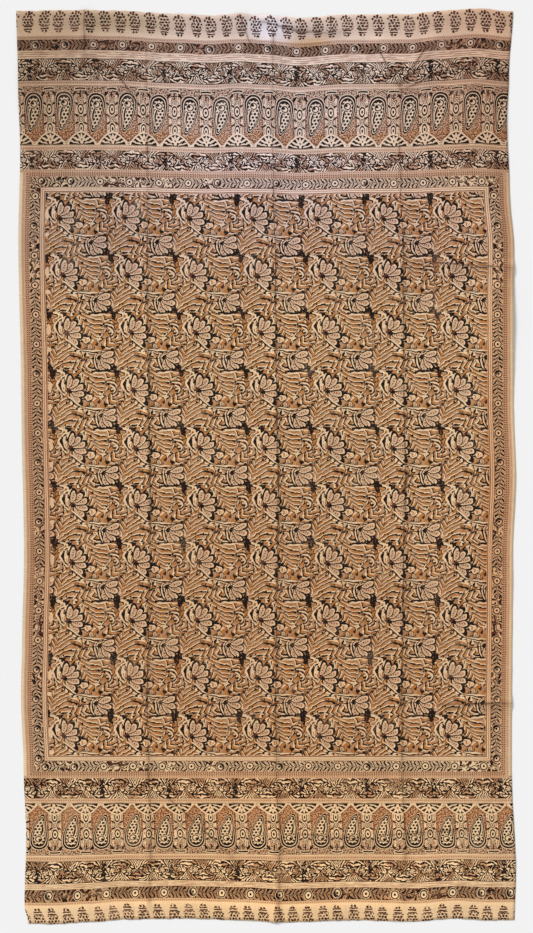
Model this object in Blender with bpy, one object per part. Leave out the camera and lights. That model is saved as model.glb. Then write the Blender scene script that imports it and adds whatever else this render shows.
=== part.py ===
"""A hand block printed cotton cloth, laid out flat.

It is one sheet with uneven cut edges. The creases of its old folds, and the slack
between them, stand a few millimetres above the flat surface that the cloth rests on.
X runs across the cloth, Y along it and Z up. Lengths are in metres.
"""

import bmesh
import bpy
from mathutils import Vector
from mathutils.geometry import intersect_point_line

# Driving dimensions
CLOTH_WIDTH = 1.140
CLOTH_LENGTH = 2.100
THICKNESS = 0.0012
MM = 0.001

# Spacing of the sheet's grid, and the extra grid lines on each side of a long crease
SPACING_ACROSS = 0.036
SPACING_ALONG = 0.038
CREASE_SIDE_LINE = 0.011

# Where the plain rectangle's edges lie further out (+) or in (-).
# Columns: share of the edge, millimetres outwards.
# Side edges run from the bottom end to the top end, end edges from left to right.
LEFT_EDGE = (
    (0.00, -20), (0.02, -11), (0.09, -15), (0.17, -9), (0.25, -3), (0.31, -6),
    (0.40, -10), (0.57, -4), (0.75, 3), (0.84, -1), (0.93, 4), (1.00, 8),
)
RIGHT_EDGE = (
    (0.00, 3), (0.05, 6), (0.17, -4), (0.40, -1), (0.49, 6), (0.57, 1), (0.69, 0),
    (0.74, 2), (0.80, -8), (0.88, -15), (0.93, -10), (1.00, -1),
)
TOP_EDGE = (
    (0.00, 2), (0.12, 4), (0.20, 3), (0.32, -4), (0.39, -8), (0.45, -4), (0.50, -7),
    (0.57, -14), (0.67, -6), (0.79, -5), (0.86, 3), (0.93, 8), (1.00, 1),
)
BOTTOM_EDGE = (
    (0.00, 6), (0.05, 7), (0.13, 2), (0.20, -4), (0.32, -6), (0.44, -2), (0.52, 3),
    (0.67, -2), (0.79, 1), (0.88, -6), (0.94, -2), (1.00, -2),
)

# Creases, each a soft ridge along a straight line.
# Columns: x and y of the start, x and y of the end, height, half width; in millimetres.
LONG_CREASES = (
    (-279, -1012, -272, 960, 3.6, 24),
    (21, -1060, 21, 1010, 3.2, 22),
    (313, -1000, 317, 900, 3.6, 24),
)
LEVEL_CREASES = (
    (326, 475, 575, 458, 4.2, 24),
    (398, -551, 580, -545, 4.0, 24),
    (35, -846, 235, -862, 3.2, 20),
    (247, -852, 462, -838, 3.2, 20),
)
SHORT_CREASES = (
    (-414, 935, -414, 1060, 4.0, 26),
    (-340, 905, -262, 795, 5.5, 30),
    (-62, 1060, -30, 975, 5.0, 26),
    (-12, 1034, 172, 1006, 4.5, 24),
    (262, 975, 314, 885, 4.5, 24),
    (380, 975, 318, 885, 4.5, 24),
    (450, 925, 325, 875, 3.4, 24),
    (-248, -752, -90, -902, 4.6, 28),
)
CREASES = LONG_CREASES + LEVEL_CREASES + SHORT_CREASES

# Slack cloth, each an oval swelling.
# Columns: x, y, half length across, half length along, height; in millimetres.
SWELLS = (
    (-500, 900, 120, 190, 5.0),
    (-120, 930, 150, 110, 4.5),
    (160, 900, 120, 130, 3.5),
    (470, 800, 130, 210, 5.0),
    (-430, 420, 120, 260, 3.5),
    (150, 360, 130, 240, 3.0),
    (560, 330, 90, 200, 5.0),
    (-140, -60, 130, 260, 3.0),
    (440, -150, 110, 250, 3.5),
    (-450, -420, 120, 230, 3.5),
    (150, -540, 120, 190, 3.0),
    (-440, -930, 150, 110, 4.5),
    (420, -960, 150, 90, 4.0),
)


def smooth(share):
    """Eases a share from 0 to 1, level at both ends."""
    share = min(max(share, 0.0), 1.0)
    return share * share * (3 - 2 * share)


def edge_offset(edge, share):
    """How far an edge lies outwards at a share of its length, in metres."""
    for (start, low), (end, high) in zip(edge, edge[1:]):
        if share <= end:
            return MM * (low + (high - low) * smooth((share - start) / (end - start)))
    return MM * edge[-1][1]


def place_on_cloth(across, along):
    """The X and Y of a point given by its shares of the width and of the length."""
    left = -CLOTH_WIDTH / 2 - edge_offset(LEFT_EDGE, along)
    right = CLOTH_WIDTH / 2 + edge_offset(RIGHT_EDGE, along)
    bottom = -CLOTH_LENGTH / 2 - edge_offset(BOTTOM_EDGE, across)
    top = CLOTH_LENGTH / 2 + edge_offset(TOP_EDGE, across)
    return left + (right - left) * across, bottom + (top - bottom) * along


def crease_height(x, y, crease):
    """The height of one crease's ridge over a point."""
    start = Vector((crease[0], crease[1])) * MM
    end = Vector((crease[2], crease[3])) * MM
    height, half_width = crease[4] * MM, crease[5] * MM
    point = Vector((x, y))
    nearest, share = intersect_point_line(point, start, end)
    nearest = (start, end)[share > 0.5] if not 0 <= share <= 1 else nearest
    return height * smooth(1 - (point.xy - nearest.xy).length / half_width)


def swell_height(x, y, swell):
    """The height of one swelling over a point."""
    across = (x - swell[0] * MM) / (swell[2] * MM)
    along = (y - swell[1] * MM) / (swell[3] * MM)
    return swell[4] * MM * smooth(1 - (across * across + along * along) ** 0.5)


def cloth_height(x, y):
    """How far the cloth's underside stands above the surface at a point."""
    crease = max(crease_height(x, y, row) for row in CREASES)
    swell = max(swell_height(x, y, row) for row in SWELLS)
    return crease + swell


def grid_shares(length, spacing, crease_places):
    """Evenly spaced shares of a length, with three closer lines at each crease."""
    lines = [length * i / round(length / spacing) for i in range(round(length / spacing) + 1)]
    for place in crease_places:
        lines = [
            line for line in lines
            if abs(line - place) > 2 * CREASE_SIDE_LINE or line in (0.0, length)
        ]
        lines += [place - CREASE_SIDE_LINE, place, place + CREASE_SIDE_LINE]
    return [line / length for line in sorted(lines)]


def build_sheet():
    """The cloth as one closed sheet: a grid for its underside, extruded upwards."""
    long_places = [CLOTH_WIDTH / 2 + MM * (row[0] + row[2]) / 2 for row in LONG_CREASES]
    level_places = [CLOTH_LENGTH / 2 + MM * (row[1] + row[3]) / 2 for row in LEVEL_CREASES]
    across_shares = grid_shares(CLOTH_WIDTH, SPACING_ACROSS, long_places)
    along_shares = grid_shares(CLOTH_LENGTH, SPACING_ALONG, level_places)

    sheet = bmesh.new()
    rows = []
    for along in along_shares:
        places = [place_on_cloth(across, along) for across in across_shares]
        rows.append([sheet.verts.new((x, y, cloth_height(x, y))) for x, y in places])
    for j, (low, high) in enumerate(zip(rows, rows[1:])):
        for i in range(len(low) - 1):
            corners = (low[i], low[i + 1], high[i + 1], high[i])
            turned = corners[(i + j) % 2:] + corners[:(i + j) % 2]
            sheet.faces.new(turned[:3])
            sheet.faces.new((turned[0], turned[2], turned[3]))

    made = bmesh.ops.extrude_face_region(sheet, geom=sheet.faces[:])["geom"]
    top_points = [piece for piece in made if isinstance(piece, bmesh.types.BMVert)]
    bmesh.ops.translate(sheet, verts=top_points, vec=(0, 0, THICKNESS))
    bmesh.ops.recalc_face_normals(sheet, faces=sheet.faces[:])
    return sheet


def centre_on_floor(sheet):
    """Moves the sheet so that the middle of its outline is over the origin."""
    xs = [point.co.x for point in sheet.verts]
    ys = [point.co.y for point in sheet.verts]
    middle = ((min(xs) + max(xs)) / 2, (min(ys) + max(ys)) / 2, 0)
    bmesh.ops.translate(sheet, verts=sheet.verts[:], vec=-Vector(middle))


def cotton_material():
    """Undyed cotton under a dense ochre, brown and black print, seen as one colour."""
    material = bpy.data.materials.new("printed_cotton")
    material.use_nodes = True
    surface = material.node_tree.nodes["Principled BSDF"]
    surface.inputs["Base Color"].default_value = (0.42, 0.27, 0.15, 1)
    surface.inputs["Roughness"].default_value = 0.9
    surface.inputs["Metallic"].default_value = 0.0
    return material


def main():
    for old in list(bpy.data.objects):
        bpy.data.objects.remove(old)
    sheet = build_sheet()
    centre_on_floor(sheet)
    mesh = bpy.data.meshes.new("cloth")
    sheet.to_mesh(mesh)
    sheet.free()
    mesh.materials.append(cotton_material())
    mesh.shade_smooth()
    cloth = bpy.data.objects.new("cloth", mesh)
    bpy.context.scene.collection.objects.link(cloth)


main()
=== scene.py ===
"""The looks of a hand block printed cotton cloth, laid out flat on a pale floor.

The sheet's outline, folds and creases are a mesh. Its print is worked out by shader
nodes, block by block, from the motifs' sizes. Sizes and places are in millimetres,
and the mesh is in metres. X runs across the cloth and Y along it, towards its faded end.
"""

from math import atan2, ceil, cos, degrees, hypot, pi, radians, sin

import bpy
import numpy as np
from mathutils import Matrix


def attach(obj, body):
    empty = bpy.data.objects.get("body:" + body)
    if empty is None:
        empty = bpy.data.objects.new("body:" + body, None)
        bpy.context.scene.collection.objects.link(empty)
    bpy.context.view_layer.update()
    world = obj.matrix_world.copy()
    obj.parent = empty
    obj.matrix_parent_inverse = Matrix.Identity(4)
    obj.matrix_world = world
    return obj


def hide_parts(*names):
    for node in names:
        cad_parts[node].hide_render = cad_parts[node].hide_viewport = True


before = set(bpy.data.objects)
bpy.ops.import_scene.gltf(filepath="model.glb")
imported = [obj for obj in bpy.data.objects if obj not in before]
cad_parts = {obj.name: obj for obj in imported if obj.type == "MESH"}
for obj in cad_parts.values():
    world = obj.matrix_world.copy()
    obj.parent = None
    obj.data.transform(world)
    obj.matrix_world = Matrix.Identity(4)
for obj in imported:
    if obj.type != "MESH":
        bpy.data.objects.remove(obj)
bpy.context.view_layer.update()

MM = 0.001

# The cloth, as in the part's source
CLOTH_WIDTH = 1140
CLOTH_LENGTH = 2100
SHEET_THICKNESS = 0.7
GRID_SPACING = 8.5

# Where the plain rectangle's edges lie further out (+) or in (-).
# Columns: share of the edge, millimetres outwards.
# Side edges run from the bottom end to the top end, end edges from left to right.
LEFT_EDGE = (
    (0.00, -20), (0.02, -11), (0.09, -15), (0.17, -9), (0.25, -3), (0.31, -6),
    (0.40, -10), (0.57, -4), (0.75, 3), (0.84, -1), (0.93, 4), (1.00, 8),
)
RIGHT_EDGE = (
    (0.00, 3), (0.05, 6), (0.17, -4), (0.40, -1), (0.49, 6), (0.57, 1), (0.69, 0),
    (0.74, 2), (0.80, -8), (0.88, -15), (0.93, -10), (1.00, -1),
)
TOP_EDGE = (
    (0.00, 2), (0.12, 4), (0.20, 3), (0.32, -4), (0.39, -8), (0.45, -4), (0.50, -7),
    (0.57, -14), (0.67, -6), (0.79, -5), (0.86, 3), (0.93, 8), (1.00, 1),
)
BOTTOM_EDGE = (
    (0.00, 6), (0.05, 7), (0.13, 2), (0.20, -4), (0.32, -6), (0.44, -2), (0.52, 3),
    (0.67, -2), (0.79, 1), (0.88, -6), (0.94, -2), (1.00, -2),
)
# How far from each end its edge's waviness reaches into the print
TOP_SAG_REACH = 700
BOTTOM_SAG_REACH = 260
EDGE_FRAY = 0.9

# Creases, each a soft ridge along a straight line.
# Columns: x and y of the start, x and y of the end, height, half width.
CREASES = (
    (-279, -1012, -272, 960, 3.6, 24),
    (21, -1060, 21, 1010, 3.2, 22),
    (313, -1000, 317, 900, 3.6, 24),
    (326, 475, 575, 458, 4.2, 24),
    (398, -551, 580, -545, 4.0, 24),
    (35, -846, 235, -862, 3.2, 20),
    (247, -852, 462, -838, 3.2, 20),
    (-414, 935, -414, 1060, 4.0, 26),
    (-340, 905, -262, 795, 5.5, 30),
    (-62, 1060, -30, 975, 5.0, 26),
    (-12, 1034, 172, 1006, 4.5, 24),
    (262, 975, 314, 885, 4.5, 24),
    (380, 975, 318, 885, 4.5, 24),
    (450, 925, 325, 875, 3.4, 24),
    (-248, -752, -90, -902, 4.6, 28),
)
CREASE_EDGE = 5  # half width of the sharp fold at the top of a crease
LONG_CREASE_PLACES = (-276, 21, 315)

# Slack cloth, each an oval swelling.
# Columns: x, y, half length across, half length along, height.
SWELLS = (
    (-500, 900, 120, 190, 5.0),
    (-120, 930, 150, 110, 4.5),
    (160, 900, 120, 130, 3.5),
    (470, 800, 130, 210, 5.0),
    (-430, 420, 120, 260, 3.5),
    (150, 360, 130, 240, 3.0),
    (560, 330, 90, 200, 5.0),
    (-140, -60, 130, 260, 3.0),
    (440, -150, 110, 250, 3.5),
    (-450, -420, 120, 230, 3.5),
    (150, -540, 120, 190, 3.0),
    (-440, -930, 150, 110, 4.5),
    (420, -960, 150, 90, 4.0),
)

# The printed bands of an end, from the cut end inwards.
# Columns: name, height at the top end, height at the bottom end, then where the first
# repeat's middle is, to the right of the cloth's, at the top end and at the bottom end.
END_BANDS = (
    ("end_strip", 58, 41, 0, 0),
    ("guard", 9, 7, 0, 0),
    ("roundels", 25, 29, 8, 22),
    ("guard_lines", 19, 13, 0, 0),
    ("leaf_band", 51, 51, 0, 0),
    ("guard", 9, 11, 0, 0),
    ("boteh_row", 141, 123, -24, -28),
    ("guard", 9, 8, 0, 0),
    ("leaf_band", 44, 47, 0, 0),
    ("guard", 7, 6, 0, 0),
)
TOP_BANDS_HEIGHT = sum(row[1] for row in END_BANDS)
BOTTOM_BANDS_HEIGHT = sum(row[2] for row in END_BANDS)
SELVEDGE = 15
FRAME_BORDER = 46
HALF_WIDTH = CLOTH_WIDTH / 2
FRAME_EDGE = HALF_WIDTH - SELVEDGE  # the frame border's outer edge, from the middle
FIELD_EDGE = FRAME_EDGE - FRAME_BORDER

# Tones of the print, as places on a colour ramp
BLACK, RED, OCHRE, TAN, PINK, CREAM = 0.08, 0.25, 0.42, 0.58, 0.75, 0.92
TONE_COLOURS = {
    BLACK: (28, 18, 12),
    RED: (102, 57, 37),
    OCHRE: (180, 118, 62),
    TAN: (184, 140, 102),
    PINK: (208, 168, 132),
    CREAM: (236, 202, 161),
}
WEFT_COLOUR = (226, 190, 152)
REVERSE_COLOUR = (205, 170, 134)
# Colour of the painted shade and soiling along the tops of the creases
FOLD_SHADE_AND_SOIL_COLOUR = (62, 42, 30)


def colour(red, green, blue):
    """A colour of 0 to 255 as the shader's linear one."""
    shares = np.array((red, green, blue)) / 255
    linear = np.where(shares < 0.04045, shares / 12.92, ((shares + 0.055) / 1.055) ** 2.4)
    return (*(float(part) for part in linear), 1.0)


# Shader nodes as sums


class Value:
    """What one shader node works out at each place on the cloth."""

    tree = None

    def __init__(self, socket):
        self.socket = socket

    def __add__(self, other):
        return calc("ADD", self, other)

    def __sub__(self, other):
        return calc("SUBTRACT", self, other)

    def __rsub__(self, other):
        return calc("SUBTRACT", other, self)

    def __mul__(self, other):
        return calc("MULTIPLY", self, other)

    def __truediv__(self, other):
        return calc("DIVIDE", self, other)

    def __abs__(self):
        return calc("ABSOLUTE", self)

    def __lt__(self, other):
        return calc("LESS_THAN", self, other)

    def __gt__(self, other):
        return calc("GREATER_THAN", self, other)

    def __and__(self, other):
        return calc("MULTIPLY", self, other)

    def __or__(self, other):
        return calc("MAXIMUM", self, other)

    __radd__ = __add__
    __rmul__ = __mul__


def connect(slot, value):
    """Feeds an input with an earlier value or a constant."""
    if isinstance(value, Value):
        Value.tree.links.new(value.socket, slot)
    else:
        slot.default_value = value


def shader_node(kind, inputs, output=0, **settings):
    """Adds a node to the material in hand. inputs maps its inputs' numbers or names to values."""
    made = Value.tree.nodes.new("ShaderNode" + kind)
    for name, setting in settings.items():
        setattr(made, name, setting)
    for name, value in inputs.items():
        connect(made.inputs[name], value)
    return Value(made.outputs[output])


def calc(operation, *values):
    """A sum on numbers."""
    return shader_node("Math", dict(enumerate(values)), operation=operation)


def steps(value, size):
    """Which of the repeats of a size a number falls in."""
    return calc("FLOOR", value / size)


def repeat(value, size):
    """A number's distance from the middle of its repeat, which is size long."""
    return calc("WRAP", value, size / 2, -size / 2)


def zigzag(value, size):
    """The distance from a number to the nearest whole multiple of a size."""
    return calc("PINGPONG", value, size / 2)


def both(vector):
    """The first two numbers of a vector."""
    made = shader_node("SeparateXYZ", {0: vector})
    return made, Value(made.socket.node.outputs[1])


def join(across, along, up=0.0):
    """A vector of the numbers given."""
    return shader_node("CombineXYZ", {0: across, 1: along, 2: up})


def length(vector):
    """A vector's length."""
    return shader_node("VectorMath", {0: vector}, output=1, operation="LENGTH")


def shift(vector, other):
    """The sum of two vectors."""
    return shader_node("VectorMath", {0: vector, 1: other}, operation="ADD")


def blend(share, start, end):
    """A number between two others."""
    return shader_node("Mix", {0: share, 2: start, 3: end}, data_type="FLOAT")


def blend_colour(share, start, end, way="MIX"):
    """A colour between two others, or the second laid over the first in another way."""
    inputs = {0: share, 6: start, 7: end}
    return shader_node("Mix", inputs, output=2, data_type="RGBA", blend_type=way)


def fade(value, start, end):
    """Eases from 0 at start to 1 at end."""
    inputs = {0: value, 1: start, 2: end}
    return shader_node("MapRange", inputs, interpolation_type="SMOOTHSTEP")


def noise(place, size, detail=1.0, output=0, twist=0.0):
    """Soft chance values whose patches are about size across."""
    inputs = {"Vector": place, "Scale": 1 / size, "Detail": detail, "Distortion": twist}
    return shader_node("TexNoise", inputs, output=output)


def chance(across, along):
    """A chance value for each pair of whole numbers."""
    return shader_node("TexWhiteNoise", {0: join(across, along)}, noise_dimensions="2D")


def printed_place(layer):
    """The place on the cloth that a map of the mesh gives, in millimetres."""
    place = shader_node("UVMap", {}, uv_map=layer)
    return shader_node("VectorMath", {0: place, 3: 1 / MM}, operation="SCALE")


def wobbled(place, size, reach):
    """A place moved by chance, as a hand-cut block and soft cloth move a line."""
    moved = noise(place, size, output=1)
    inputs = {0: moved, 1: (reach, reach, 0), 2: (-reach / 2, -reach / 2, 0)}
    return shift(place, shader_node("VectorMath", inputs, operation="MULTIPLY_ADD"))


# Marks of a block: each is 1 where it prints and 0 elsewhere


def seen_from(place, x, y, turn=0, size=(1, 1)):
    """A place as seen from a motif's middle, turned with it and measured in its half sizes."""
    inputs = {0: place, 1: (x, y, 0), 2: (0, 0, radians(turn)), 3: (*size, 1)}
    return shader_node("Mapping", inputs, vector_type="TEXTURE")


def oval(place, x, y, half_width, half_height=None):
    """An oval, or a disc if it has one size."""
    size = (half_width, half_height or half_width)
    return length(seen_from(place, x, y, 0, size)) < 1


def leaf(place, x, y, half_length, half_width, turn=0, bend=0):
    """A leaf with pointed tips. Its middle is bent aside, to its left if bend is positive."""
    along, aside = both(seen_from(place, x, y, turn, (half_length, half_width)))
    slope = along * along
    lift = bend / half_width
    return abs(calc("MULTIPLY_ADD", slope, lift, aside) - lift) + slope < 1


def ground(tone):
    """A plain tone, for marks to be painted on."""
    made = Value.tree.nodes.new("ShaderNodeValue")
    made.outputs[0].default_value = tone
    return Value(made.outputs[0])


def paint(tone, mark, new_tone):
    """Prints a tone over what is there, where the mark is."""
    return blend(mark, tone, new_tone)


def curls(place, size, pitch):
    """Curling strokes that fill a ground, as level lines of a slow noise.
    Gives how far across its stroke each place is, from 0 to 1."""
    hills = noise(place, size, detail=0.6, twist=0.7)
    return calc("FRACT", hills * (1.9 * size / pitch))


def ramp(value, stops, tint=False):
    """A colour or a tone for each range of a number. Each stop is where a range starts."""
    made = shader_node("ValToRGB", {0: value}, output=0 if tint else 1)
    bands = made.socket.node.color_ramp
    bands.interpolation = "CONSTANT"
    while len(bands.elements) < len(stops):
        bands.elements.new(1.0)
    for element, (start, shown) in zip(bands.elements, stops):
        element.position = start
        element.color = shown if tint else (shown, shown, shown, shown)
    return made


# The tones across one stroke of a leaf: a pale line, the dark one beside it, then its body
STROKE = ((0, CREAM), (0.25, BLACK), (0.50, OCHRE))


def feather(tone, place, rough, x, y, turn, half_length, width, pitch, lean, curve, sides):
    """A leaf made of strokes that leave its spine on one or both sides. lean and curve are how
    far a stroke runs forwards for each millimetre, and square millimetre, from the spine."""
    along, aside = both(seen_from(place, x, y, turn))
    out = abs(aside) if sides == 2 else aside
    forwards = calc("MULTIPLY_ADD", out, curve, lean) * out
    across = calc("FRACT", (along - forwards) / pitch + rough)
    share = along / half_length
    outline = calc("MULTIPLY_ADD", share, share, out / width) + across * 0.2
    inside = (outline < 1) & (out > 0)
    tone = paint(tone, inside, ramp(across, STROKE))
    return paint(tone, (abs(outline - 1.02) < 0.05) & (out > 0) & (across < 0.5), BLACK)


def petal(tone, place, x, y, turn):
    """A pinkish petal, narrower at its foot, with a pale rim, a dark outline and fine marks."""
    along, aside = both(seen_from(place, x, y, turn, PETAL_SIZE))
    across = aside / calc("MULTIPLY_ADD", along, 0.34, 1.0)
    out = length(join(along, across))
    shown = ramp(out * 0.5, ((0, PINK), (0.33, CREAM), (0.41, BLACK)))
    tone = paint(tone, out < 1.15, shown)
    dashes = (abs(across) < 0.2) & (zigzag(along, 0.32) > 0.09)
    return paint(tone, dashes & (abs(along) < 0.5), RED)


def flower(tone, place, x, y, turn, count):
    """A fan of petals round x, y, the first at the turn given and the rest to its left."""
    tone = paint(tone, oval(place, x, y, 5), BLACK)
    for number in range(count):
        ahead = turn + number * PETAL_STEP
        petal_x = x + cos(radians(ahead)) * PETAL_DISTANCE
        petal_y = y + sin(radians(ahead)) * PETAL_DISTANCE
        tone = petal(tone, place, petal_x, petal_y, ahead)
    return tone


def rays(place, x, y, count):
    """The distance out from x, y and the distance aside from the nearest of its rays."""
    seen = seen_from(place, x, y)
    out = length(seen)
    ahead, aside = both(seen)
    turned = calc("ARCTAN2", aside, ahead)
    return out, zigzag(turned, 2 * pi / count) * out


def arcs(tone, place, x, y, radius, middle, reach, lines):
    """Curved lines round x, y, thinning towards their ends, reach degrees from their middle.
    Each line is its shift outwards, half width and tone."""
    seen = seen_from(place, x, y, middle)
    ahead, aside = both(seen)
    turned = calc("ARCTAN2", aside, ahead) / radians(reach)
    thin = 1 - turned * turned
    out = length(seen) - radius
    for outwards, half_width, line_tone in lines:
        tone = paint(tone, abs(out - outwards) < thin * half_width, line_tone)
    return tone


# Printed bands. Each function gives the tone at a place seen from the band's middle.


def dot_rows(x, y, pitch_x, pitch_y, radius):
    """Staggered rows of dots."""
    row = steps(y + pitch_y / 2, pitch_y)
    return length(join(zigzag(x + row * (pitch_x / 2), pitch_x), repeat(y, pitch_y))) < radius


GUARD_DOT_PITCH = 5.2
GUARD_LINE_PLACE = 3.2  # from the middle of the row of dots


def dotted_guard(tone, along, aside, middle, dot=1.0):
    """A row of tiny red dots between two fine lines. dot is half a dot's width."""
    from_middle = abs(aside - middle)
    dots = (zigzag(along, GUARD_DOT_PITCH) < dot) & (from_middle < dot)
    tone = paint(tone, abs(from_middle - GUARD_LINE_PLACE) < 0.5, TAN)
    return paint(tone, dots, RED)


SPRIG_PITCH = 35
SPRIG_TURN_PLACE = -414  # the sprigs' tips point left on the right of this place
# Columns: x, y
SPRIG_TIP_DOTS = ((-4, 25.5), (-10, 23.5), (-14.5, 18.5))


def end_strip_print(place):
    """Botehs made of dots, on plain cloth."""
    x, y = both(wobbled(place, 7, 4.6))
    sprig = steps(x, SPRIG_PITCH)
    loose = chance(sprig, 3.0)
    local_x = x - (sprig + 0.5) * SPRIG_PITCH + (loose - 0.5) * 5
    local_y = y + (chance(sprig, 8.0) - 0.5) * 5
    local = join(local_x, local_y)
    body = oval(local, 0, 1, 13.0, 25)
    bars = (abs(local_y + 8) < 1.7) | (abs(local_y + 14) < 1.7)
    dot_size = noise(place, 5) * 6.0 - 0.1
    dots = dot_rows(local_x, local_y - 1, 7.4, 6.8, dot_size) & (abs(local_y + 11) > 5)
    marks = (body & dots) | (bars & (abs(local_x) < 9.5))
    side = calc("SIGN", x - SPRIG_TURN_PLACE)
    tip = join(local_x * side, local_y)
    for dot_x, dot_y in SPRIG_TIP_DOTS:
        marks = marks | oval(tip, dot_x, dot_y, 2.6, 3.0)
    tone = paint(ground(CREAM), marks, RED)
    return paint(tone, marks & (noise(place, 7) > 0.53), BLACK)


def guard_print(place):
    """Fine red lines and dots on pinkish cloth."""
    x, y = both(wobbled(place, 12, 1.0))
    return dotted_guard(paint(ground(CREAM), abs(y) < 2.4, PINK), x, y, 0)


def guard_lines_print(place):
    """Fine red lines with pale cloth between."""
    x, y = both(wobbled(place, 16, 1.8))
    lines = (zigzag(y, 4.7) < 0.5) & (abs(y) < 8.2)
    broken = noise(join(x * 0.2, y), 6) > 0.42
    tone = paint(ground(CREAM), noise(join(x * 0.1, y), 3.5) > 0.55, PINK)
    return paint(tone, lines & broken, RED)


ROUNDEL_PITCH = 67
# Columns: radius, tone
ROUNDEL_RINGS = ((10.4, CREAM), (9.3, BLACK), (6.7, CREAM))
ROUNDEL_LEAF_PITCH = 8.8
ROUNDELS_HALF_HEIGHT = 12.2


def roundel_ground(along, aside, pitch, leaf_tone):
    """Two rows of slanted leaves with a wavy stem between, and a ringed disc at each repeat."""
    place = join(along, aside)
    kind = chance(steps(along + pitch / 2, pitch), 7.0)
    local = join(repeat(along, pitch), aside + (kind - 0.5) * 3)
    wave = calc("SINE", along * (pi / 11)) * 2.2
    from_stem = abs(aside + wave)
    curl_tones = ((0, leaf_tone), (0.34, BLACK), (0.64, RED), (0.84, BLACK))
    tone = ramp(curls(place, 11, 8), curl_tones)
    slant = zigzag(along + from_stem * 0.7 + noise(place, 9) * 6, ROUNDEL_LEAF_PITCH)
    half_cell = chance(steps(along, pitch / 2), 3.0)
    leafy = (half_cell > 0.22) & (from_stem < 11)
    tone = paint(tone, leafy, BLACK)
    tone = paint(tone, leafy & (slant > 2.2), leaf_tone)
    tone = paint(tone, leafy & (slant > 3.9), RED)
    tone = paint(tone, from_stem < 1.6, leaf_tone)
    tone = paint(tone, from_stem < 0.9, BLACK)
    ring = length(local)
    for radius, ring_tone in ROUNDEL_RINGS:
        tone = paint(tone, ring < radius, ring_tone)
    crescent = oval(local, 0.8, 0.4, 6.0) & (oval(local, -1.6, -1.2, 5.2) < 0.5)
    tone = paint(tone, crescent & (kind > 0.55), BLACK)
    return paint(tone, ring < 2.7, BLACK)


def roundels_print(place):
    """A narrow border of ringed discs."""
    x, y = both(wobbled(place, 10, 1.8))
    tone = roundel_ground(x, y, ROUNDEL_PITCH, TAN)
    return paint(tone, abs(y) > ROUNDELS_HALF_HEIGHT, RED)


LEAF_BLOCK = 155
LEAF_BAND_FLOWERS = (-58, -19.4, 19.4, 58)  # their places along a block
LEAF_BAND_LEAF_PITCH = 8.8
LEAF_BAND_LEAF = ((0, CREAM), (0.49, BLACK), (0.94, RED))


def leaf_band_print(place):
    """Two crossing stems thick with cream leaves, on black, with a flower in each loop."""
    x, y = both(wobbled(place, 7, 4.5))
    local_x = repeat(x, LEAF_BLOCK)
    local = join(local_x, y, 5.0)
    wave = calc("SINE", local_x * (4 * pi / LEAF_BLOCK)) * 13
    first, second = abs(y - wave), abs(y + wave)
    side = calc("MINIMUM", first, second)
    way = calc("SIGN", second - first)
    rough = (noise(local, 9) - 0.5) * 1.4
    across = calc("FRACT", (local_x * way + side * 1.1) / LEAF_BAND_LEAF_PITCH + rough)
    tone = ramp(across, LEAF_BAND_LEAF)
    tone = paint(tone, side < 1.2, BLACK)
    for middle in LEAF_BAND_FLOWERS:
        out, aside = rays(local, middle, 0, 7)
        tone = paint(tone, out < 9.5, BLACK)
        tone = paint(tone, (out < 8.0) & (aside < 1.6), CREAM)
        tone = paint(tone, out < 2.4, OCHRE)
    join_side = abs(repeat(x + LEAF_BLOCK / 2, LEAF_BLOCK))
    tone = paint(tone, (join_side < 6) & (noise(place, 6) > 0.5), BLACK)
    tone = paint(tone, (tone > 0.8) & (noise(place, 26) > 0.53), TAN)
    return paint(tone, abs(y) > 24, BLACK)


BOTEH_PITCH = 73
BOTEH_OUTLINES = ((0, CREAM), (0.25, BLACK), (0.34, CREAM), (0.40, BLACK), (0.56, CREAM))
EYE_RINGS = ((0, CREAM), (0.29, BLACK), (0.42, CREAM))


def boteh(tone, local):
    """One curling boteh, its head at the top: double outline, dotted inside, ringed eye."""
    x, y = both(local)
    below = calc("MINIMUM", y - 20, 0.0)
    bent = x + below * below * 0.0034
    height = (y - 7) / 44
    widen = calc("MULTIPLY_ADD", height, 0.40, 0.84)
    across = bent / (widen * 19.5)
    rise = calc("POWER", abs(height), 3.0)
    edge = calc("MULTIPLY_ADD", across, across, rise)
    tone = paint(tone, edge < 1.24, ramp(edge * 0.5, BOTEH_OUTLINES))
    tone = paint(tone, dot_rows(bent, y, 8.6, 8.0, 3.0) & (edge < 0.5), BLACK)
    tone = paint(tone, leaf(local, -5, 4, 24, 3.6, 78, 4) & (edge < 0.6), CREAM)
    tone = paint(tone, leaf(local, -4, 4, 23, 2.0, 78, 4) & (edge < 0.6), BLACK)
    eye = length(seen_from(local, 0.8, 26)) / 20
    tone = paint(tone, eye < 0.5, ramp(eye, EYE_RINGS))
    tone = paint(tone, leaf(local, 0, 38, 9, 2.2, 6, 4), BLACK)
    return paint(tone, oval(local, -2.0, 28, 3.4), BLACK)


# Columns: y, half width, half height
COLUMN_BEADS = ((34, 4.6, 6), (14, 7.4, 13), (-9, 4.8, 7), (-30, 6.6, 13))
BEAD_RINGS = ((0, BLACK), (0.15, CREAM), (0.33, BLACK), (0.5, CREAM))
# Columns: y, turn
COLUMN_LEAVES = ((27, 40), (0, 40), (-18, -35))


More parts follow.
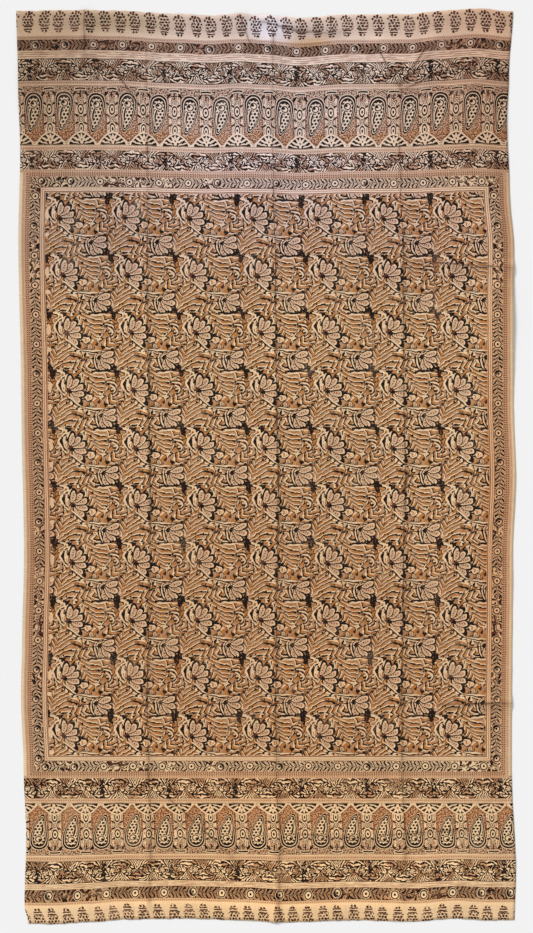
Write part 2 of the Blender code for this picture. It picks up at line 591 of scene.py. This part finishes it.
def column(tone, local):
    """A slender column between two botehs: a bar across its top, and beads with leaves below."""
    x, y = both(local)
    side = abs(x)
    mirrored = join(side, y)
    tone = paint(tone, (side < 1.4) & (abs(y - 47) < 8), BLACK)
    for middle, half_width, half_height in COLUMN_BEADS:
        bead = length(seen_from(local, 0, middle, 0, (half_width, half_height))) * 0.5
        tone = paint(tone, bead < 0.6, ramp(bead, BEAD_RINGS))
    for middle, turn in COLUMN_LEAVES:
        tone = paint(tone, leaf(mirrored, 10, middle, 6, 2.2, turn), BLACK)
    bar = abs(y - 62 + side * side * 0.012)
    tone = paint(tone, (bar < 3.6) & (side < 13.5), CREAM)
    tone = paint(tone, (bar < 2.0) & (side < 12), BLACK)
    return paint(tone, leaf(mirrored, 13, 50, 7.5, 3.0, -56), BLACK)


# Pale leaves of a lunette's right half.
# Columns: x, y, half length, half width, turn, bend
LUNETTE_LEAVES = (
    (0, -47, 7, 2.4, 90, 0), (7, -50, 9, 2.6, 58, 2), (15, -55, 9, 2.4, 34, 2),
    (23, -61, 7, 2.0, 22, 2), (6, -59, 8, 2.4, 20, 3), (13, -64, 8, 1.8, 8, 2),
)
LUNETTE_FOOT = -67
LUNETTE_HALF_WIDTH = 31
LUNETTE_HEIGHT = 28


def lunette(tone, local):
    """A pointed dome at the foot of a column, with pale leaves on black."""
    x, y = both(local)
    side = abs(x)
    share_across = calc("POWER", side / LUNETTE_HALF_WIDTH, 1.5)
    share_up = calc("MAXIMUM", (y - LUNETTE_FOOT) / LUNETTE_HEIGHT, 0.0)
    dome = share_across + calc("POWER", share_up, 1.5)
    inside = y > LUNETTE_FOOT
    tone = paint(tone, inside & (dome < 1.16), CREAM)
    tone = paint(tone, inside & (dome < 0.96), BLACK)
    for row in LUNETTE_LEAVES:
        tone = paint(tone, leaf(join(side, y), *row), CREAM)
    return paint(tone, oval(local, 0, -62, 3.4), CREAM)


def boteh_row_print(place):
    """Botehs in bays that end in a point, with columns between them and lunettes below."""
    place = wobbled(place, 14, 2.8)
    x, y = both(place)
    number = steps(x + BOTEH_PITCH / 2, BOTEH_PITCH)
    local_x = repeat(x, BOTEH_PITCH) + (chance(number, 5.0) - 0.5) * 3
    local_y = y - (chance(number, 4.0) - 0.5) * 5
    between = join(repeat(x + BOTEH_PITCH / 2, BOTEH_PITCH), y)

    specks = noise(place, 3.0, detail=0)
    side = abs(local_x)
    bay = calc("MAXIMUM", side - 25, side * 0.62 - (local_y + 64) * 0.78)
    ochre_top = (both(printed_place("flat"))[1] < 0) * 60 - 8
    tone = paint(ground(TAN), (bay < 0) & (local_y + specks * 50 < ochre_top), OCHRE)
    tone = paint(tone, specks > 0.55, RED)
    tone = paint(tone, specks < 0.43, PINK)
    rungs = (zigzag(y, 4.4) < 1.0) & (abs(bay + 3) < 3.2)
    tone = paint(tone, rungs, RED)
    tone = paint(tone, abs(bay - 1.2) < 2.6, CREAM)
    tone = paint(tone, (abs(bay - 1.2) < 0.7) & (noise(place, 9) > 0.45), RED)
    crown = y > 46
    tone = paint(tone, crown & (specks < 0.46), PINK)
    tone = paint(tone, crown & (specks > 0.56), BLACK)
    tone = column(tone, between)
    tone = lunette(tone, between)
    tone = boteh(tone, join(local_x, local_y))
    ends = abs(y)
    tone = paint(tone, ends > 67, CREAM)
    return paint(tone, abs(ends - 68.2) < 0.6, RED)


# Places in the frame border are from its outer edge.
FRAME_ROUNDEL_PITCH = 68.3
FRAME_ROUNDEL_START = 27
FRAME_ROUNDELS_MIDDLE = 21
FRAME_DOT_ROWS = (1.8, 6.6)
PALE_STRIP_MIDDLE = 39
PALE_STRIP_HALF_WIDTH = 4.4
# Columns: middle, half width
FRAME_LINES = ((34.2, 0.6), (38.5, 0.5), (43.6, 0.8))


def frame_border_print(place):
    """The border round the field, mitred at its corners."""
    x, y = both(wobbled(place, 14, 1.6))
    side_in = FRAME_EDGE - abs(x)
    y = y - (BOTTOM_BANDS_HEIGHT - TOP_BANDS_HEIGHT) / 2
    half_height = (CLOTH_LENGTH - TOP_BANDS_HEIGHT - BOTTOM_BANDS_HEIGHT) / 2
    end_in = half_height - abs(y)
    inwards = calc("MINIMUM", side_in, end_in)
    along = blend(side_in < end_in, x, y)

    aside = inwards - FRAME_ROUNDELS_MIDDLE
    tone = roundel_ground(along - FRAME_ROUNDEL_START, aside, FRAME_ROUNDEL_PITCH, CREAM)
    tone = paint(tone, abs(aside) > ROUNDELS_HALF_HEIGHT, PINK)
    tone = paint(tone, abs(inwards - PALE_STRIP_MIDDLE) < PALE_STRIP_HALF_WIDTH, CREAM)
    for middle in FRAME_DOT_ROWS:
        tone = dotted_guard(tone, along, inwards, middle, 1.4)
    for middle, half_width in FRAME_LINES:
        tone = paint(tone, abs(inwards - middle) < half_width, RED)
    return tone


# The field's block
BLOCK_WIDTH = 149.2
BLOCK_HEIGHT = 132.8
BLOCK_CORNER = (-66, 489)  # where four blocks meet, near the middle of the top
BLOCK_ROWS = 9
BLOCK_ROWS_BULGE = 18  # how far the rows in the middle are shifted to the right
# Bare spots beside the left edge of the field, one of each to a block.
# Columns: place along the block, half width, half height
BARE_SPOTS = ((47, 5.5, 5), (92, 4.5, 13))

# Places are from the block's middle.
# Columns: x, y, turn, half length, width, pitch, lean, curve, sides
BLOCK_FEATHERS = (
    (-60, -30, 250, 40, 58, 13.4, -1.7, 0.018, 1),
    (-62, -30, 72, 30, 14, 12.0, 1.0, 0.0, 1),
    (10, 34, -60, 40, 58, 13.4, 1.7, -0.015, 1),
    (12, 32, 120, 30, 12, 12.0, -1.0, 0.0, 1),
    (-4, -60, 12, 32, 15, 13.0, 0.9, 0.0, 2),
    (62, -6, 40, 22, 15, 13.0, 0.9, 0.0, 2),
    (16, -36, -62, 24, 20, 13.5, 1.0, -0.01, 1),
    (58, 56, 66, 20, 15, 13.0, 0.9, 0.0, 2),
    (-64, 8, 150, 18, 14, 13.0, 0.8, 0.0, 2),
)
# Columns: x and y of the petals' foot, turn of the first petal, petals
BLOCK_FLOWERS = ((-37, 18, -44, 5), (37, -37, -78, 4))
PETAL_SIZE = (18.0, 7.4)  # half length, half width
PETAL_DISTANCE = 21.5
PETAL_STEP = 31
# Columns: x, y, half length, half width, turn, bend, tone
BLOCK_LEAVES = (
    (-58, 33, 15, 3.6, 86, 4, CREAM),
    (-55, 34, 14, 2.2, 86, 3, BLACK),
    (-50, 32, 15, 1.7, 104, -3, CREAM),
    (-69, 31, 14, 6.0, 62, 5, BLACK),
    (-69, 31, 12, 4.0, 62, 5, OCHRE),
    (-22, -4, 25, 3.6, -38, -3, BLACK),
    (-22, -3, 25, 1.9, -38, -3, CREAM),
    (22, -20, 28, 3.4, -2, -3, BLACK),
    (22, -19, 28, 1.8, -2, -3, CREAM),
    (-16, -37, 16, 4.6, -14, 4, BLACK),
    (-16, -36, 14, 3.0, -14, 4, OCHRE),
    (-14, -31, 14, 1.7, -14, 4, CREAM),
    (6, -32, 9, 3.0, 70, 3, BLACK),
    (5, -32, 8, 1.6, 70, 3, CREAM),
    (42, 63, 32, 2.8, 3, 3, BLACK),
    (40, 58, 30, 1.8, 3, 3, CREAM),
    (-6, 66, 10, 2.2, -55, 2, BLACK),
    (38, -34, 8, 2.4, 40, 2, CREAM),
)
# Black buds. Columns: x, y, half width, half height
BLOCK_BUDS = (
    (-41, 18, 3.4, 2.8), (20, 39, 2.4, 2.0), (44, 34, 2.8, 2.4), (51, 38, 2.0, 3.4),
    (49, -12, 5.0, 2.4), (-17, -20, 3.2, 2.0), (-5, -23, 3.4, 1.8), (-40, -8, 2.6, 3.0),
    (-46, -60, 2.4, 2.2), (24, -40, 3.0, 3.2), (39, -35, 3.6, 2.0), (27, -61, 1.8, 4.0),
)
# Columns: x, y, radius, middle, reach either side in degrees
BLOCK_ARCS = ((61, 22, 13, 30, 120), (-34, 32, 22, 180, 66), (60, -44, 30, 192, 44))
# Columns: shift outwards, half width, tone
ARC_LINES = ((-3.5, 1.8, CREAM), (0, 2.0, BLACK), (3.5, 1.8, CREAM), (6.5, 1.6, BLACK))


def block_print(local):
    """One impression of the field's block, seen from its middle."""
    local = wobbled(local, 15, 7)
    rough = (noise(local, 12) - 0.5) * 0.7
    tone = ramp(curls(local, 16, 11), STROKE)
    for row in BLOCK_FEATHERS:
        tone = feather(tone, local, rough, *row)
    for x, y, radius, middle, reach in BLOCK_ARCS:
        tone = arcs(tone, local, x, y, radius, middle, reach, ARC_LINES)
    for row in BLOCK_FLOWERS:
        tone = flower(tone, local, *row)
    for x, y, half_length, half_width, turn, bend, new_tone in BLOCK_LEAVES:
        tone = paint(tone, leaf(local, x, y, half_length, half_width, turn, bend), new_tone)
    for x, y, half_width, half_height in BLOCK_BUDS:
        tone = paint(tone, oval(local, x, y, half_width, half_height), BLACK)
    shade = noise(local, 13)
    berries = dot_rows(*both(local), 19, 16, 2.3) & (shade < 0.5)
    tone = paint(tone, berries & (abs(tone - PINK) > 0.05), BLACK)
    tone = paint(tone, (abs(tone - OCHRE) < 0.05) & (shade > 0.51), TAN)
    return paint(tone, (tone < 0.15) & (shade > 0.62), RED)


def field_print(place):
    """The field: blocks set side by side by hand, each a little off its place."""
    x, y = both(wobbled(place, 26, 6))
    height = y - BLOCK_CORNER[1]
    row = steps(height, BLOCK_HEIGHT)
    bulge = calc("SINE", row * (pi / BLOCK_ROWS)) * BLOCK_ROWS_BULGE
    across = x - BLOCK_CORNER[0] - abs(bulge)
    column_number = steps(across, BLOCK_WIDTH)
    off_x = chance(column_number, row)
    off_y = chance(row, column_number)
    local_x = repeat(across - BLOCK_WIDTH / 2, BLOCK_WIDTH) + (off_x - 0.5) * 3
    local_y = repeat(height - BLOCK_HEIGHT / 2, BLOCK_HEIGHT) + (off_y - 0.5) * 3
    tone = block_print(join(local_x, local_y))

    rough = noise(place, 6)
    upright = repeat(height + 3, BLOCK_HEIGHT) / 15
    level = (repeat(across, BLOCK_WIDTH) + upright * 2) / 5.2
    blot = length(join(level, upright)) + (rough - 0.5) * 1.5
    tone = paint(tone, blot < 1.1 + (off_x - 0.5) * 0.4, BLACK)
    joins = abs(local_x) > BLOCK_WIDTH / 2 - 0.9
    tone = paint(tone, joins & (rough > 0.54), RED)
    inwards = x + FIELD_EDGE
    for start, half_width, half_height in BARE_SPOTS:
        seen = join((inwards - 5) / half_width, repeat(height - start, BLOCK_HEIGHT) / half_height)
        tone = paint(tone, length(seen) < 1, CREAM)
    return tone


def selvedge_print(place):
    """The woven edge, with hardly any print."""
    x, y = both(wobbled(place, 12, 1.5))
    inwards = HALF_WIDTH - abs(x)
    tone = paint(ground(PINK), (zigzag(inwards, 5) < 0.8) & (noise(place, 9) > 0.4), TAN)
    return paint(tone, inwards < 6.5, CREAM)


# Cloth materials

THREAD_SPACING = 0.9
THREAD_SHADE = 0.16  # how much lighter a thread's top is than the gaps beside it
SLUB_SHADE = 0.22
THREAD_HEIGHT = 0.12
PUCKER_HEIGHT = 0.5
MOST_WEAR = 0.42  # the share of the ink that is gone where it is worn most
MOST_FOLD_SHADE_AND_SOIL = 0.56  # the share of painted shade and soiling on the darkest fold


def tone_colour(tone):
    """The colour of each tone."""
    step = 1 / len(TONE_COLOURS)
    colours = [colour(*TONE_COLOURS[each]) for each in sorted(TONE_COLOURS)]
    stops = [(number * step, shown) for number, shown in enumerate(colours)]
    return ramp(tone, stops, tint=True)


def weave(place):
    """The height of the plain weave's threads, from 0 to 1."""
    x, y = both(wobbled(place, 3, 0.25))
    warp = abs(calc("SINE", x * (pi / THREAD_SPACING)))
    weft = abs(calc("SINE", y * (pi / THREAD_SPACING)))
    return warp * weft


def slubs(place):
    """Thicker and thinner threads, as streaks along and across."""
    x, y = both(place)
    across = noise(join(x * 0.02, y * 0.5), 1.0, detail=0)
    along = noise(join(x * 0.5, y * 0.02, 4.0), 1.0, detail=0)
    return across + along


def start_material(name):
    """An empty material whose nodes are added to, and its surface node."""
    material = bpy.data.materials.new(name)
    material.use_nodes = True
    Value.tree = material.node_tree
    return material, material.node_tree.nodes["Principled BSDF"]


def painted_fold_lines(place):
    """1 on the fine dark line of painted shade and soil atop each crease, and 0 elsewhere."""
    place = wobbled(place, 40, 5)
    lines = 0.0
    for x, y, end_x, end_y, height, _ in CREASES:
        half_length = hypot(end_x - x, end_y - y) / 2
        turn = degrees(atan2(end_y - y, end_x - x))
        line = leaf(place, (x + end_x) / 2, (y + end_y) / 2, half_length, height * 0.55, turn)
        lines = calc("MAXIMUM", line, lines)
    return lines


def finish_cloth(surface, place, shade):
    """Feeds a cloth's surface: its colour, its dull finish and its threads."""
    threads = weave(place)
    tint = shader_node("Attribute", {}, attribute_name="tint")
    shade = blend_colour(1.0, shade, tint, "MULTIPLY")
    thread_light = calc("MULTIPLY_ADD", threads, THREAD_SHADE, 0.9)
    thread_light += (slubs(place) - 1.0) * SLUB_SHADE
    shade = shader_node("VectorMath", {0: shade, 3: thread_light}, operation="SCALE")
    height = threads * THREAD_HEIGHT + noise(place, 6, detail=2) * PUCKER_HEIGHT
    bump_inputs = {"Height": height, "Strength": 0.5, "Distance": 0.6 * MM}
    connect(surface.inputs["Base Color"], shade)
    connect(surface.inputs["Normal"], shader_node("Bump", bump_inputs))
    surface.inputs["Roughness"].default_value = 0.92
    surface.inputs["Specular IOR Level"].default_value = 0.18
    surface.inputs["Sheen Weight"].default_value = 0.05


def printed_material(name, pattern, layer):
    """Cotton printed with a pattern, whose ink is thin and worn in places."""
    material, surface = start_material(name)
    tone = pattern(printed_place(layer))
    place = printed_place("flat")
    ink = tone_colour(tone)
    worn = noise(place, 3.5, detail=1) * 0.5 + noise(place, 70, detail=1) * 0.6
    bare = fade(worn, 0.58, 0.90) * MOST_WEAR
    shade = blend_colour(bare, ink, colour(*WEFT_COLOUR))
    # Painted shade and soiling along the top of each crease, patchy along the cloth
    fold = painted_fold_lines(place) * fade(noise(place, 60), 0.25, 0.6) * MOST_FOLD_SHADE_AND_SOIL
    finish_cloth(surface, place, blend_colour(fold, shade, colour(*FOLD_SHADE_AND_SOIL_COLOUR)))
    return material


def reverse_material():
    """The back of the cloth, where the ink hardly shows through."""
    material, surface = start_material("reverse")
    place = printed_place("flat")
    through = noise(place, 18, detail=3)
    shade = blend_colour(through, colour(*REVERSE_COLOUR), colour(*WEFT_COLOUR))
    finish_cloth(surface, place, shade)
    return material


# The sheet's mesh

BROAD_RIPPLE = 0.9
FINE_RIPPLE = 0.4
CREASE_LINES = (-10, -4, 0, 4, 10)  # grid lines beside a long crease


def smooth(share):
    """Eases a share from 0 to 1, level at both ends."""
    share = np.clip(share, 0, 1)
    return share * share * (3 - 2 * share)


def edge_offset(edge, share):
    """How far an edge lies outwards at a share of its length."""
    starts = np.array([row[0] for row in edge])
    offsets = np.array([row[1] for row in edge], float)
    piece = np.clip(np.searchsorted(starts, share, side="right") - 1, 0, len(edge) - 2)
    within = (share - starts[piece]) / (starts[piece + 1] - starts[piece])
    return offsets[piece] + (offsets[piece + 1] - offsets[piece]) * smooth(within)


def ripples(x, y, size, seed):
    """Soft chance waves from -1 to 1, as a sum of slanted sines."""
    draw = np.random.default_rng(seed)
    total = np.zeros_like(x)
    for _ in range(9):
        turn, phase = draw.uniform(0, 2 * pi, 2)
        wave = size * draw.uniform(0.7, 1.6)
        total += np.sin((x * np.cos(turn) + y * np.sin(turn)) * 2 * pi / wave + phase)
    return total / 4.5


def distance_to_line(x, y, row):
    """The distance from each point to a crease's line."""
    start, end = np.array(row[:2]), np.array(row[2:4])
    run = end - start
    share = ((x - start[0]) * run[0] + (y - start[1]) * run[1]) / (run @ run)
    share = np.clip(share, 0, 1)
    return np.hypot(x - start[0] - run[0] * share, y - start[1] - run[1] * share)


def cloth_height(x, y):
    """How far the cloth's underside stands above the floor."""
    crease = np.zeros_like(x)
    for row in CREASES:
        away = distance_to_line(x, y, row)
        soft = smooth(1 - away / row[5])
        sharp = np.clip(1 - away / CREASE_EDGE, 0, 1)
        crease = np.maximum(crease, row[4] * (0.75 * soft + 0.25 * sharp))
    swell = np.zeros_like(x)
    for middle_x, middle_y, half_across, half_along, height in SWELLS:
        away = np.hypot((x - middle_x) / half_across, (y - middle_y) / half_along)
        swell = np.maximum(swell, height * smooth(1 - away))
    slack = np.clip(ripples(x, y, 120, 3), 0, 1) * BROAD_RIPPLE
    slack += np.clip(ripples(x, y, 46, 8), 0, 1) * FINE_RIPPLE
    return crease + swell + slack


def place_on_floor(across, along):
    """Where a point of the flat cloth lies, from its distances from the cloth's middle."""
    share_across = across / CLOTH_WIDTH + 0.5
    share_along = along / CLOTH_LENGTH + 0.5
    left = -HALF_WIDTH - edge_offset(LEFT_EDGE, share_along)
    right = HALF_WIDTH + edge_offset(RIGHT_EDGE, share_along)
    from_top = CLOTH_LENGTH / 2 - along
    from_bottom = CLOTH_LENGTH / 2 + along
    lift = edge_offset(TOP_EDGE, share_across) * smooth(1 - from_top / TOP_SAG_REACH)
    drop = edge_offset(BOTTOM_EDGE, share_across) * smooth(1 - from_bottom / BOTTOM_SAG_REACH)
    at_end = (from_top < 1e-6) * 1.0 - (from_bottom < 1e-6) * 1.0
    fray = EDGE_FRAY * ripples(across, along, 15, 5) * at_end
    return left + (right - left) * share_across, along + lift - drop + fray


def grid_lines(stops, spacing):
    """Lines through each stop, evenly spaced between them."""
    lines = [stops[0]]
    for start, end in zip(stops, stops[1:]):
        count = max(1, ceil((end - start) / spacing))
        lines += [start + (end - start) * (i + 1) / count for i in range(count)]
    return np.array(lines)


def band_stops():
    """The bands' edges along the cloth, from the bottom end to the top end, and their names."""
    stops, names = [-CLOTH_LENGTH / 2], []
    for name, _, height, *_ in END_BANDS:
        stops.append(stops[-1] + height)
        names.append(name)
    field_top = CLOTH_LENGTH / 2 - TOP_BANDS_HEIGHT
    stops += [stops[-1] + FRAME_BORDER, field_top - FRAME_BORDER, field_top]
    names += ["frame_border", "field", "frame_border"]
    for name, height, *_ in reversed(END_BANDS):
        stops.append(stops[-1] + height)
        names.append(name)
    return stops, names


PRINTS = {
    "field": field_print,
    "frame_border": frame_border_print,
    "selvedge": selvedge_print,
    "end_strip": end_strip_print,
    "guard": guard_print,
    "roundels": roundels_print,
    "guard_lines": guard_lines_print,
    "leaf_band": leaf_band_print,
    "boteh_row": boteh_row_print,
}
FLAT_PRINTS = ("field", "frame_border", "selvedge")
ALL_MATERIALS = (*PRINTS, "reverse")

# Tints laid over the whole print, each easing out to its oval's edge. Marked rows hold painted
# light.
# Columns: x, y, half length across, half length along, tint.
TINTS = (
    # The cooler, paler faded end, with a painted silvery sheen over it
    (0, 900, 580, 480, (0.99, 1.11, 1.60)),
    (0, 540, 640, 220, (0.92, 0.93, 1.08)),
    (-420, 560, 260, 260, (0.83, 0.86, 1.00)),
    (420, 560, 260, 260, (0.92, 0.90, 0.98)),
    (420, 965, 340, 120, (1.10, 1.12, 1.18)),
    (556, 500, 34, 320, (0.84, 0.77, 0.71)),
    (-600, 980, 460, 460, (0.64, 0.62, 0.66)),
    (600, 980, 420, 460, (0.71, 0.64, 0.68)),
    (0, 640, 620, 40, (1.03, 1.01, 1.05)),
    (0, 707, 1300, 38, (1.12, 1.14, 1.28)),
    (0, 1024, 1300, 46, (0.84, 0.84, 0.86)),
    (0, 1024, 640, 46, (0.86, 0.85, 0.85)),
    (-330, 1024, 160, 40, (0.82, 0.82, 0.72)),
    (10, 1022, 75, 45, (1.32, 1.58, 2.00)),
    (110, 990, 80, 22, (0.80, 0.68, 0.50)),
    (0, 970, 1300, 26, (0.82, 0.78, 0.78)),
    (0, -450, 900, 700, (0.93, 0.87, 0.82)),
    (0, -900, 900, 400, (1.10, 1.05, 0.95)),
    (0, -743, 1300, 40, (1.14, 1.10, 1.05)),
    (0, -935, 1300, 44, (1.17, 1.13, 1.06)),
    (0, -1003, 1300, 26, (1.18, 1.14, 1.06)),
    (0, -1040, 1300, 32, (0.93, 0.92, 0.90)),
    (-528, 0, 50, 1100, (0.81, 0.67, 0.61)),
    (528, -100, 50, 1000, (0.86, 0.68, 0.57)),
    (-572, 0, 16, 1300, (0.74, 0.85, 0.98)),
    # The right selvedge's paler colour, with painted light where the key light leaves it in shade
    (572, 0, 16, 1300, (1.12, 1.20, 1.28)),
)
# Painted shade and soiling along each crease's line: its tint, and how far it reaches
CREASE_SHADE_AND_SOIL_TINT = (0.56, 0.49, 0.44)
CREASE_SHADE_AND_SOIL_REACH = 7


def tint_at(x, y):
    """The tint of each point of the cloth, with painted shade and soiling along the creases."""
    tint = np.ones((*x.shape, 3))
    for middle_x, middle_y, half_across, half_along, shade in TINTS:
        away = np.hypot((x - middle_x) / half_across, (y - middle_y) / half_along)
        tint *= 1 + smooth(1.2 * (1 - away))[..., None] * (np.array(shade) - 1)
    # Painted shade and soiling along each crease, patchy along its length
    for row in CREASES:
        line = np.clip(1 - distance_to_line(x, y, row) / CREASE_SHADE_AND_SOIL_REACH, 0, 1)
        worn = 0.65 + 0.35 * ripples(x, y, 150, 11)
        tint *= 1 + (line * worn)[..., None] * (np.array(CREASE_SHADE_AND_SOIL_TINT) - 1)
    return tint * (1 + 0.035 * ripples(x, y, 260, 21))[..., None]


def sheet_points(across, along):
    """The points of the sheet's underside, then of its top, in metres."""
    u, v = np.meshgrid(across, along)
    x, y = place_on_floor(u, v)
    low = np.stack([x, y, cloth_height(x, y)], -1).reshape(-1, 3)
    high = low + (0, 0, SHEET_THICKNESS)
    return np.concatenate([low, high]) * MM


def sheet_faces(columns, rows):
    """The sheet's faces: its underside, its top, then its four edges."""
    index = np.arange(columns * rows).reshape(rows, columns)
    a, b, c, d = index[:-1, :-1], index[:-1, 1:], index[1:, 1:], index[1:, :-1]
    under = np.stack([a, d, c, b], -1).reshape(-1, 4)
    top = np.stack([a, b, c, d], -1).reshape(-1, 4) + columns * rows
    ring = np.concatenate([index[0], index[1:, -1], index[-1, -2::-1], index[-2:0:-1, 0]])
    after = np.roll(ring, -1)
    edge = np.stack([ring, after, after + columns * rows, ring + columns * rows], -1)
    return under, top, edge


def print_coordinates(name, band, u, v, stops):
    """Where the print of a face's band puts the face's corners."""
    if name in FLAT_PRINTS:
        return u, v
    low, high = stops[band], stops[band + 1]
    middle = (low + high) / 2
    at_top = middle > 0
    own = band if not at_top else len(stops) - 2 - band
    _, height, _, top_start, bottom_start = END_BANDS[own]
    along = u - top_start if at_top else bottom_start - u
    if name == "end_strip":
        return along, (v - low if at_top else high - v) - height / 2
    return along, (v - middle if at_top else middle - v) * height / (high - low)


def lines_across():
    """The grid lines' places across the cloth, closer together at each long crease."""
    stops = [-HALF_WIDTH, -FRAME_EDGE, -FIELD_EDGE]
    stops += [place + beside for place in LONG_CREASE_PLACES for beside in CREASE_LINES]
    stops += [FIELD_EDGE, FRAME_EDGE, HALF_WIDTH]
    return grid_lines(stops, GRID_SPACING)


def top_materials(across, bands, names):
    """The number of the material of each of the top's faces."""
    middle_across = np.abs((across[:-1] + across[1:]) / 2)
    kinds = np.empty((len(bands), len(across) - 1), dtype=int)
    for row, band in enumerate(bands):
        name = names[band]
        kinds[row] = ALL_MATERIALS.index(name)
        if name in ("field", "frame_border"):
            kinds[row][middle_across > FIELD_EDGE] = ALL_MATERIALS.index("frame_border")
            kinds[row][middle_across > FRAME_EDGE] = ALL_MATERIALS.index("selvedge")
    return kinds.ravel()


def printed_places(flat, first_top, columns, bands, stops, names):
    """The place of each face corner in its own band's print."""
    printed = flat.copy()
    in_row = (columns - 1) * 4
    for row, band in enumerate(bands):
        start = first_top + row * in_row
        u, v = flat[start:start + in_row].T
        place = print_coordinates(names[band], band, u, v, stops)
        printed[start:start + in_row] = np.stack(place, -1)
    return printed


def build_sheet():
    """The printed cloth's mesh, with a material for each band."""
    stops, names = band_stops()
    across = lines_across()
    along = grid_lines(stops, GRID_SPACING)
    bands = np.searchsorted(stops, (along[:-1] + along[1:]) / 2) - 1
    under, top, edge = sheet_faces(len(across), len(along))
    faces = np.concatenate([under, top, edge])

    mesh = bpy.data.meshes.new("printed_cloth")
    mesh.from_pydata(sheet_points(across, along).tolist(), [], faces.tolist())
    for name in ALL_MATERIALS:
        mesh.materials.append(MATERIALS[name])
    kinds = np.full(len(faces), ALL_MATERIALS.index("reverse"), dtype=np.int32)
    kinds[len(under):len(under) + len(top)] = top_materials(across, bands, names)
    mesh.polygons.foreach_set("material_index", kinds)

    u, v = np.meshgrid(across, along)
    u, v = np.tile(u.ravel(), 2), np.tile(v.ravel(), 2)
    corners = faces.ravel()
    flat = np.stack([u[corners], v[corners]], -1)
    printed = printed_places(flat, len(under) * 4, len(across), bands, stops, names)
    add_map(mesh, "print", printed * MM)
    add_map(mesh, "flat", flat * MM)
    add_map(mesh, "OFBake", bake_places(flat, len(under), len(top)))
    add_tint(mesh, u, v)
    mesh.shade_smooth()
    mesh.validate()
    return mesh


def add_tint(mesh, u, v):
    """Gives each point of the mesh its tint."""
    tint = mesh.color_attributes.new("tint", "FLOAT_COLOR", "POINT")
    shade = np.concatenate([tint_at(u, v), np.ones((len(u), 1))], -1)
    tint.data.foreach_set("color", shade.astype(np.float32).ravel())


def add_map(mesh, name, places):
    """Adds a map that gives each face corner its place."""
    layer = mesh.uv_layers.new(name=name)
    layer.data.foreach_set("uv", places.astype(np.float32).ravel())


# Where each side of the sheet lies in the baking map. Columns: size, lower left corner
TOP_IN_MAP = ((0.86, 0.98), (0.01, 0.01))
REVERSE_IN_MAP = ((0.10, 0.98), (0.89, 0.01))
EDGES_IN_MAP = ((0.008, 0.98), (0.876, 0.01))


def bake_places(flat, under_count, top_count):
    """Lays out the printed face over most of the map, then its edges and reverse beside it."""
    share = flat / (CLOTH_WIDTH, CLOTH_LENGTH) + 0.5
    size, corner = REVERSE_IN_MAP
    places = share * size + corner
    size, corner = TOP_IN_MAP
    top = slice(under_count * 4, (under_count + top_count) * 4)
    places[top] = share[top] * size + corner
    (width, height), (left, bottom) = EDGES_IN_MAP
    edge = slice((under_count + top_count) * 4, None)
    within = np.tile([(0, 0), (1, 0), (1, 1), (0, 1)], (len(places[edge]) // 4, 1))
    number = np.arange(len(within)) // 4
    step = height / (number[-1] + 1)
    across = left + within[:, 1] * width
    along = bottom + (number + within[:, 0]) * step
    places[edge] = np.stack([across, along], -1)
    return places


MATERIALS = {
    name: printed_material(name, pattern, "flat" if name in FLAT_PRINTS else "print")
    for name, pattern in PRINTS.items()
}
MATERIALS["reverse"] = reverse_material()


def show(name, mesh):
    """Puts a mesh into the scene as an object."""
    piece = bpy.data.objects.new(name, mesh)
    bpy.context.scene.collection.objects.link(piece)
    return piece


def add_cloth():
    cloth = show("printed_cloth", build_sheet())
    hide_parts("cloth")
    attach(cloth, "root")


# Floor, light and camera. The camera's height and the floor's sizes are in metres.

PHOTO_SIZE = (533, 933)
MM_PER_PIXEL = 2.31
CAMERA_HEIGHT = 6.0
FLOOR_COLOUR = (243, 243, 243)
FLOOR_HALF_SIZE = 30
FLOOR_LEVEL = -0.0004
SKY_STRENGTH = 0.58
KEY_STRENGTH = 2.6
KEY_SPREAD = 20  # degrees
KEY_TURN = (-42, -48, 0)  # degrees


def add_floor():
    """A pale floor, a hair under the cloth."""
    material, surface = start_material("floor")
    surface.inputs["Base Color"].default_value = colour(*FLOOR_COLOUR)
    surface.inputs["Roughness"].default_value = 0.8
    surface.inputs["Specular IOR Level"].default_value = 0.1
    mesh = bpy.data.meshes.new("floor")
    sides = ((-1, -1), (1, -1), (1, 1), (-1, 1))
    corners = [(x * FLOOR_HALF_SIZE, y * FLOOR_HALF_SIZE, FLOOR_LEVEL) for x, y in sides]
    mesh.from_pydata(corners, [], [(0, 1, 2, 3)])
    mesh.materials.append(material)
    show("floor", mesh)


def add_light():
    """Even light from above, with a broad grazing light from the upper left."""
    world = bpy.data.worlds.new("studio")
    world.use_nodes = True
    sky = world.node_tree.nodes["Background"]
    sky.inputs["Color"].default_value = (1, 1, 1, 1)
    sky.inputs["Strength"].default_value = SKY_STRENGTH
    bpy.context.scene.world = world
    light = bpy.data.lights.new("key", "SUN")
    light.angle = radians(KEY_SPREAD)
    light.energy = KEY_STRENGTH
    lamp = bpy.data.objects.new("key", light)
    lamp.rotation_euler = [radians(turn) for turn in KEY_TURN]
    bpy.context.scene.collection.objects.link(lamp)


def add_camera():
    """A camera over the cloth's middle, looking straight down with the faded end at the top."""
    data = bpy.data.cameras.new("camera")
    data.sensor_fit = "VERTICAL"
    data.sensor_height = 36
    seen_height = PHOTO_SIZE[1] * MM_PER_PIXEL * MM
    data.lens = data.sensor_height * CAMERA_HEIGHT / seen_height
    camera = bpy.data.objects.new("camera", data)
    camera.location = (0.0, 0.0, CAMERA_HEIGHT)
    bpy.context.scene.collection.objects.link(camera)
    bpy.context.scene.camera = camera


def main():
    add_cloth()
    add_floor()
    add_light()
    add_camera()
    bpy.context.scene.view_settings.view_transform = "Standard"


main()
